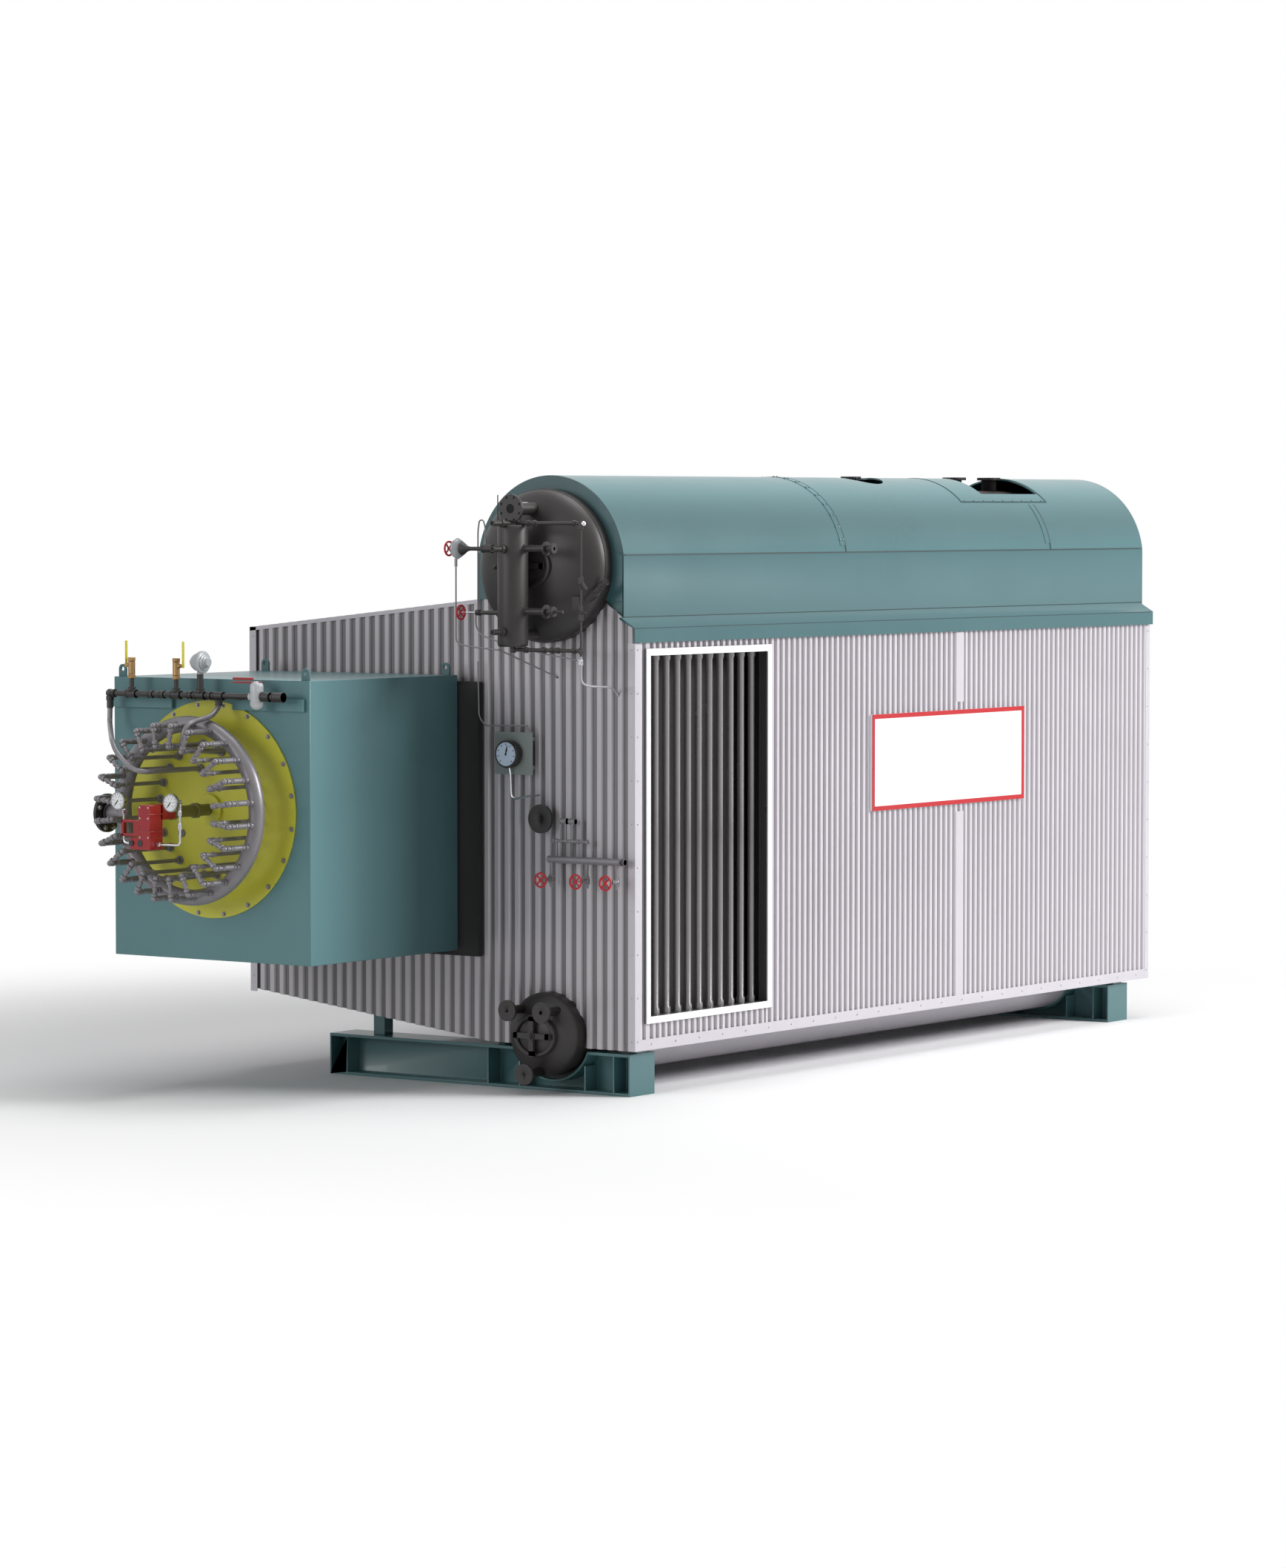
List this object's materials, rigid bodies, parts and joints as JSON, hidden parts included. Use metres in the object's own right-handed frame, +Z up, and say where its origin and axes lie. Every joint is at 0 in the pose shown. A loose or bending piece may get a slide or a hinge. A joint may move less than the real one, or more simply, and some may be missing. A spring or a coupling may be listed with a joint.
{
  "type": "industrial watertube boiler",
  "caption": "Packaged watertube boiler: ribbed casing, steam drum under a curved cover, mud drum, flue outlet with tube bank, windbox and ring gas burner on two base beams.",
  "frame": {"origin": "middle of the whole footprint, at ground level under the base beams", "axes": "+Y from the burner end to the rear along the drums, +X to the side with the flue outlet, +Z up"},
  "size_m": [3.584, 10.343, 4.455],
  "materials": {
    "casing_sheet": "ribbed coated sheet, satin",
    "casing_trim": "flat coated sheet, satin",
    "teal_paint": "satin enamel",
    "white_paint": "gloss enamel",
    "red_paint": "gloss enamel",
    "yellow_paint": "vinyl sleeve, gloss",
    "yellow_plate": "satin enamel",
    "drum_steel": "dark primer, matt",
    "dark_steel": "dark heat-stained steel",
    "tube_steel": "rolled tube, satin",
    "lagging_sheet": "smooth coated sheet",
    "black_seal": "black seal, matt",
    "grey_pipe": "grey painted pipe, satin",
    "gauge_case": "polished case",
    "black_pipe": "black iron pipe",
    "brass": "cast brass",
    "grey_casting": "grey casting"
  },
  "bodies": {
    "boiler": {"front_wall": "casing_sheet", "rear_wall": "casing_sheet", "left_wall": "casing_sheet", "right_wall": "casing_sheet", "roof": "casing_sheet", "floor": "casing_sheet", "casing_trim": "casing_trim", "flue_outlet_frame": "white_paint", "bank_tubes": "tube_steel", "bank_headers": "dark_steel", "gas_baffle": "dark_steel", "sign_panel": "white_paint", "sign_border": "red_paint", "drum_cover": "teal_paint", "cover_skirt_right": "teal_paint", "cover_skirt_left": "teal_paint", "cover_ends": "teal_paint", "steam_drum": "drum_steel", "mud_drum": "drum_steel", "steam_drum_heads": "drum_steel", "mud_drum_heads": "drum_steel", "drum_manways": "drum_steel", "mud_drum_lagging": "lagging_sheet", "drum_nozzles": "dark_steel", "mud_drum_nozzles": "drum_steel", "base_beam_front": "teal_paint", "base_beam_rear": "teal_paint", "support_posts": "teal_paint", "windbox": "teal_paint", "throat_seal": "black_seal", "lifting_lugs": "teal_paint", "burner_plate": "yellow_plate", "gas_ring": "grey_pipe", "gas_injectors": "grey_pipe", "burner_gun": "grey_pipe", "gun_actuator": "red_paint", "gauges": "gauge_case", "pilot_header": "black_pipe", "pilot_valves": "brass", "pressure_switch": "grey_casting", "safety_cock": "white_paint", "water_column": "drum_steel", "level_gauge": "drum_steel", "column_branches": "drum_steel", "gauge_panel": "grey_casting", "wall_nozzle": "drum_steel", "drain_manifold": "grey_pipe"},
    "valve_lever_left": {"valve_lever_left": "yellow_paint"},
    "valve_lever_right": {"valve_lever_right": "yellow_paint"},
    "cock_lever": {"cock_lever": "red_paint"},
    "drain_wheel_left": {"drain_wheel_left": "red_paint"},
    "drain_wheel_middle": {"drain_wheel_middle": "red_paint"},
    "drain_wheel_right": {"drain_wheel_right": "red_paint"},
    "column_wheel_upper": {"column_wheel_upper": "red_paint"},
    "column_wheel_lower": {"column_wheel_lower": "red_paint"}
  },
  "joints": [
    {"name": "valve_lever_left_turn", "type": "hinge", "parent": "boiler", "child": "valve_lever_left", "pos_m": [-1.328, -4.3795, 3.09], "axis": [1, 0, 0], "range_deg": [0, 90]},
    {"name": "valve_lever_right_turn", "type": "hinge", "parent": "boiler", "child": "valve_lever_right", "pos_m": [-0.803, -4.3795, 3.09], "axis": [1, 0, 0], "range_deg": [0, 90]},
    {"name": "cock_lever_turn", "type": "hinge", "parent": "boiler", "child": "cock_lever", "pos_m": [-0.118, -4.3795, 2.9803], "axis": [0, 0, 1], "range_deg": [0, 90]},
    {"name": "drain_wheel_left_turn", "type": "hinge", "parent": "boiler", "child": "drain_wheel_left", "pos_m": [1.083, -2.6595, 1.545], "axis": [0, 1, 0], "range_deg": [0, 1350]},
    {"name": "drain_wheel_middle_turn", "type": "hinge", "parent": "boiler", "child": "drain_wheel_middle", "pos_m": [1.393, -2.6595, 1.545], "axis": [0, 1, 0], "range_deg": [0, 1350]},
    {"name": "drain_wheel_right_turn", "type": "hinge", "parent": "boiler", "child": "drain_wheel_right", "pos_m": [1.656, -2.6595, 1.545], "axis": [0, 1, 0], "range_deg": [0, 1350]},
    {"name": "column_wheel_upper_turn", "type": "hinge", "parent": "boiler", "child": "column_wheel_upper", "pos_m": [0.421, -2.8995, 3.92], "axis": [1, 0, 0], "range_deg": [0, 1350]},
    {"name": "column_wheel_lower_turn", "type": "hinge", "parent": "boiler", "child": "column_wheel_lower", "pos_m": [0.551, -2.8995, 3.463], "axis": [1, 0, 0], "range_deg": [0, 1350]}
  ]
}
